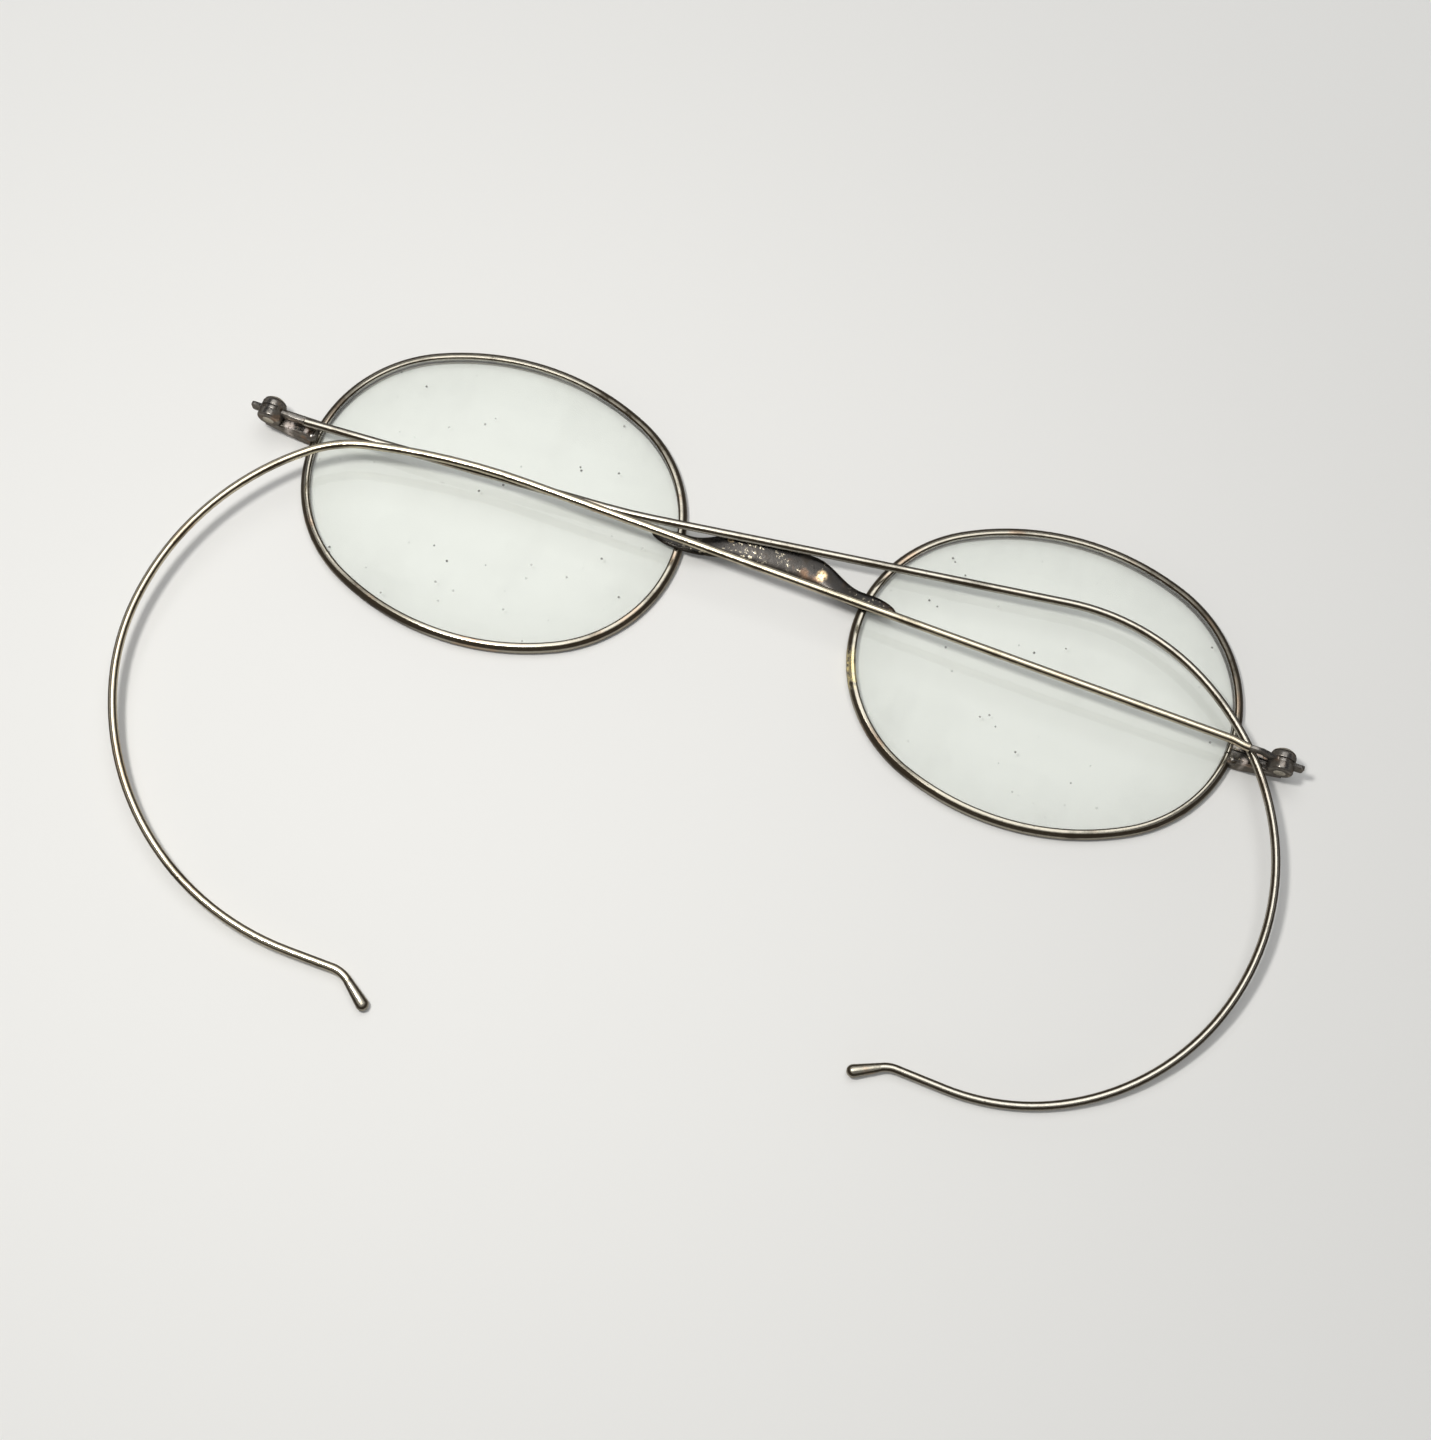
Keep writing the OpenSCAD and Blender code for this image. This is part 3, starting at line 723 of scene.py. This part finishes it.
class SPECTACLES_OT_butts(bpy.types.Operator):
    """Dress the flat butts that turn in the hinges"""

    bl_idname = "spectacles.butts"
    bl_label = "Temple butts"

    def execute(self, context):
        s = context.scene.spectacle_finish
        material = metal(
            "Butt metal", s.steel, patch=0.9, rough=0.26, dents=0.8, painted_side_shade=0.8,
            copper_share=0.15, crest=(0.85, 0.99),
        )
        for side in SIDES:
            obj = copy_of(f"{side}_temple_butt", f"butt_{side}")
            soften(obj, width=0.06)
            smooth(obj, 30)
            finish_piece(obj, material, f"{side}_temple", f"{side}_temple_butt")
        return {"FINISHED"}


# ----------------------------------------------------------------- temples


def wire_rows(side, temple):
    """The side's rows in metres and radians, with its long run worked out."""
    rim = bpy.context.scene.spectacle_rims
    span = (HINGE["right"] - HINGE["left"]).x
    rows = HOOKS[side]
    at = rows.index(next(r for r in rows if r[0] is None))
    used = sum(r[0] for r in rows[:at]) * MM
    if side == "left":
        used += LONG_R * MM * math.sin(math.radians(LONG_TURN))
    else:
        used += JOG_R * MM * (math.sin(math.radians(JOG_UP)) + math.sin(math.radians(JOG_BACK)))
    rest = span - SHORT[side] * MM - (temple.butt_l - temple.seat) - used
    return [
        (rest if run is None else run * MM, r * MM, math.radians(turn), math.radians(twist))
        for run, r, turn, twist in rows
    ]


def butt_end(side, temple):
    """Frame where the wire leaves its butt, drawn as for a left temple."""
    across = (HINGE["right"] - HINGE["left"]).x / 2
    hinge = HINGE[side]
    step = temple.step if side == "right" else 0
    rise = getattr(temple, f"{side}_rise")
    place = Vector((temple.butt_l - across, hinge.y - MIDDLE.y, hinge.z + step))
    return Matrix.Translation(place) @ Matrix.Rotation(-rise, 4, "Y")


def ring(name, at, radius, sides):
    """Circle across the X axis of a frame, in edit mode and selected."""
    deselect()
    place = at @ Matrix.Rotation(math.pi / 2, 4, "Y")
    bpy.ops.mesh.primitive_circle_add(
        vertices=sides, radius=radius, location=place.translation, rotation=place.to_euler()
    )
    obj = named(name)
    bpy.ops.object.mode_set(mode="EDIT")
    bpy.ops.mesh.select_mode(type="VERT")
    bpy.ops.mesh.select_all(action="SELECT")
    return obj


def push(at, distance):
    """Extrude the selected ring along its frame's X axis."""
    way = at.to_3x3() @ Vector((distance, 0, 0))
    bpy.ops.mesh.extrude_region_move(TRANSFORM_OT_translate={"value": way})
    return at @ Matrix.Translation((distance, 0, 0))


def follow(rows, at, draw):
    """Frame at the rows' end. With draw the selected ring is swept there."""
    for run, radius, turn, twist in rows:
        at = at @ Matrix.Rotation(twist, 4, "X")
        if run:
            at = push(at, run) if draw else at @ Matrix.Translation((run, 0, 0))
            continue
        arm = Matrix.Translation((0, math.copysign(radius, -turn), 0))
        centre = at @ arm
        if draw:
            steps = max(2, round(abs(math.degrees(turn)) / BEND_STEP))
            axis = centre.to_3x3() @ Vector((0, 0, 1))
            bpy.ops.mesh.spin(steps=steps, angle=turn, center=centre.translation, axis=axis)
        at = centre @ Matrix.Rotation(-turn, 4, "Z") @ arm.inverted()
    return at


def set_side(obj, side):
    """Move a temple piece from its drawing to its place, mirrored at the right."""
    obj.location = MIDDLE
    obj.scale = (-1 if side == "right" else 1, 1, 1)
    take(obj)
    bpy.ops.object.transform_apply(location=True, rotation=True, scale=True)
    bpy.ops.object.mode_set(mode="EDIT")
    bpy.ops.mesh.select_all(action="SELECT")
    bpy.ops.mesh.remove_doubles(threshold=WELD)
    bpy.ops.mesh.normals_make_consistent(inside=False)
    bpy.ops.object.mode_set(mode="OBJECT")
    smooth(obj, 50)


class SPECTACLES_OT_temples(bpy.types.Operator):
    """Draw the two temple wires and bend their ear hooks"""

    bl_idname = "spectacles.temples"
    bl_label = "Temple wires"

    def execute(self, context):
        temple = context.scene.spectacle_temples
        s = context.scene.spectacle_finish
        looks = {"left": (s.nickel, NARROW_CREST), "right": (s.gold, BROAD_CREST)}
        for side in SIDES:
            start = butt_end(side, temple)
            obj = ring(f"wire_{side}", start, temple.wire_r, temple.sides)
            follow(wire_rows(side, temple), start, draw=True)
            close_ends(obj)
            set_side(obj, side)
            tone, crest = looks[side]
            material = metal(
                f"Temple wire {side}", tone, patch=5, rough=0.17, dents=0.25, crest=crest
            )
            finish_piece(obj, material, f"{side}_temple", f"{side}_temple_wire")
        return {"FINISHED"}


class SPECTACLES_OT_tips(bpy.types.Operator):
    """Swell the wire ends into drop-shaped tips"""

    bl_idname = "spectacles.tips"
    bl_label = "Temple tips"

    def execute(self, context):
        temple = context.scene.spectacle_temples
        s = context.scene.spectacle_finish
        material = metal("Tip metal", s.rim, patch=1.2, rough=0.3, dents=1.2)
        swell = temple.tip_r - temple.wire_r
        for side in SIDES:
            at = follow(wire_rows(side, temple), butt_end(side, temple), draw=False)
            obj = ring(f"tip_{side}", at, temple.wire_r, temple.sides)
            run = TIP_LENGTH[side] * MM - temple.tip_r
            radius = temple.wire_r
            # The taper swells in four steps, then the end closes as a dome
            stations = [(run * k / 4, temple.wire_r + swell * k / 4) for k in range(1, 5)]
            for a in map(math.radians, DOME):
                stations.append((run + temple.tip_r * math.sin(a), temple.tip_r * math.cos(a)))
            done = 0
            for where, wide in stations:
                at = push(at, where - done)
                k = wide / radius
                bpy.ops.transform.resize(value=(k, k, k), center_override=at.translation)
                done, radius = where, wide
            close_ends(obj)
            set_side(obj, side)
            finish_piece(obj, material, f"{side}_temple", f"{side}_temple_tip")
        return {"FINISHED"}


# ------------------------------------------------------------------- stage


def plain_floor(s):
    """Pale matt floor that keeps the shadow near the object and stays pale
    further out, where the lamp no longer reaches."""
    f = Finish("Plain floor")
    reach = f.vector("LENGTH", {0: f.point}, "Value")
    rays = f.node("ShaderNodeLightPath").socket.node
    camera, glossy, through = (
        Sock(f, rays.outputs[f"Is {kind} Ray"]) for kind in ("Camera", "Glossy", "Transmission")
    )
    matt = f.principled(Base_Color=tuple(s.floor), Roughness=0.9, Specular_IOR_Level=0.1)
    lift = LIFT_NEAR + reach.between(*LIFT_REACH) * (LIFT_FAR - LIFT_NEAR)
    level = camera.most(glossy).most(through) * lift
    glow = f.node("ShaderNodeEmission", {}, {"Color": (1, 1, 0.98), "Strength": level})
    return f.show(f.node("ShaderNodeAddShader", {}, {0: matt, 1: glow}))


def area_light(name, shape, place, size, power, turn=(0, 0, 0)):
    """A light that the camera doesn't see, at a place in millimetres."""
    deselect()
    bpy.ops.object.light_add(type="AREA", location=Vector(place) * MM, rotation=turn)
    light = bpy.context.object
    light.name = name
    light.data.shape = shape
    light.data.size, light.data.size_y = (side * MM for side in size)
    light.data.energy = power
    light.visible_camera = False
    return light


def surroundings():
    """World that is pale along the horizon and dim above, for the reflections."""
    world = bpy.data.worlds.new("Studio")
    world.use_nodes = True
    tree = world.node_tree
    tree.nodes.clear()
    sky = tree.nodes.new("ShaderNodeTexCoord")
    split = tree.nodes.new("ShaderNodeSeparateXYZ")
    ramp = tree.nodes.new("ShaderNodeValToRGB")
    stops = ramp.color_ramp.elements
    stops[0].position, stops[1].position = SKY[0][0], SKY[-1][0]
    stops.new(SKY[1][0])
    for stop, (_, tone) in zip(stops, SKY):
        stop.color = (*tone, 1)
    background = tree.nodes.new("ShaderNodeBackground")
    out = tree.nodes.new("ShaderNodeOutputWorld")
    tree.links.new(sky.outputs["Generated"], split.inputs[0])
    tree.links.new(split.outputs["Z"], ramp.inputs[0])
    tree.links.new(ramp.outputs["Color"], background.inputs["Color"])
    tree.links.new(background.outputs[0], out.inputs["Surface"])
    return world


class SPECTACLES_OT_stage(bpy.types.Operator):
    """Lay the pale floor, hang the soft lamp and set the camera"""

    bl_idname = "spectacles.stage"
    bl_label = "Floor, light and camera"

    def execute(self, context):
        scene = context.scene
        deselect()
        # Just under the rims, so that no two faces share a plane
        bpy.ops.mesh.primitive_plane_add(size=FLOOR_SIDE * MM, location=(MIDDLE.x, 0, -0.02 * MM))
        floor = named("floor")
        floor.data.materials.append(plain_floor(scene.spectacle_finish))

        aim = (Vector(LAMP["place"]) * MM - MIDDLE).to_track_quat("Z", "Y").to_euler()
        lamp = area_light("soft_lamp", "DISK", turn=aim, **LAMP)
        lamp.data.color = LAMP_COLOUR
        # A large dim panel overhead, which the wires show as their bright line
        area_light("ceiling_panel", "RECTANGLE", **PANEL)
        scene.world = surroundings()

        deselect()
        turn = Euler([math.radians(a) for a in CAMERA_TURN])
        bpy.ops.object.camera_add(location=Vector(CAMERA_PLACE) * MM, rotation=turn)
        camera = bpy.context.object
        camera.name = "camera"
        camera.data.lens = CAMERA_LENS
        camera.data.sensor_width = 36
        camera.data.clip_start = 0.005
        scene.camera = camera
        scene.view_settings.view_transform = "Standard"
        return {"FINISHED"}


# --------------------------------------------------------- panel, register

STEPS = (
    SPECTACLES_OT_rims,
    SPECTACLES_OT_lenses,
    SPECTACLES_OT_bridge,
    SPECTACLES_OT_endpieces,
    SPECTACLES_OT_screws,
    SPECTACLES_OT_butts,
    SPECTACLES_OT_temples,
    SPECTACLES_OT_tips,
    SPECTACLES_OT_stage,
)


class SPECTACLES_PT_build(bpy.types.Panel):
    """Lists the settings and the building steps in order"""

    bl_idname = "SPECTACLES_PT_build"
    bl_label = "Wire-rim spectacles"
    bl_space_type = "VIEW_3D"
    bl_region_type = "UI"
    bl_category = "Spectacles"

    def draw(self, context):
        for name in GROUPS:
            group = getattr(context.scene, name)
            box = self.layout.box()
            for key in group.__annotations__:
                box.prop(group, key)
        for step in STEPS:
            self.layout.operator(step.bl_idname)


CLASSES = (RimSettings, TempleSettings, FinishSettings, *STEPS, SPECTACLES_PT_build)
GROUPS = {
    "spectacle_rims": RimSettings,
    "spectacle_temples": TempleSettings,
    "spectacle_finish": FinishSettings,
}


def register():
    for cls in CLASSES:
        bpy.utils.register_class(cls)
    for name, group in GROUPS.items():
        setattr(bpy.types.Scene, name, PointerProperty(type=group))


def unregister():
    for name in GROUPS:
        delattr(bpy.types.Scene, name)
    for cls in reversed(CLASSES):
        bpy.utils.unregister_class(cls)


def main():
    register()
    bpy.ops.spectacles.rims()
    bpy.ops.spectacles.lenses()
    bpy.ops.spectacles.bridge()
    bpy.ops.spectacles.endpieces()
    bpy.ops.spectacles.screws()
    bpy.ops.spectacles.butts()
    bpy.ops.spectacles.temples()
    bpy.ops.spectacles.tips()
    bpy.ops.spectacles.stage()


if __name__ == "__main__":
    main()
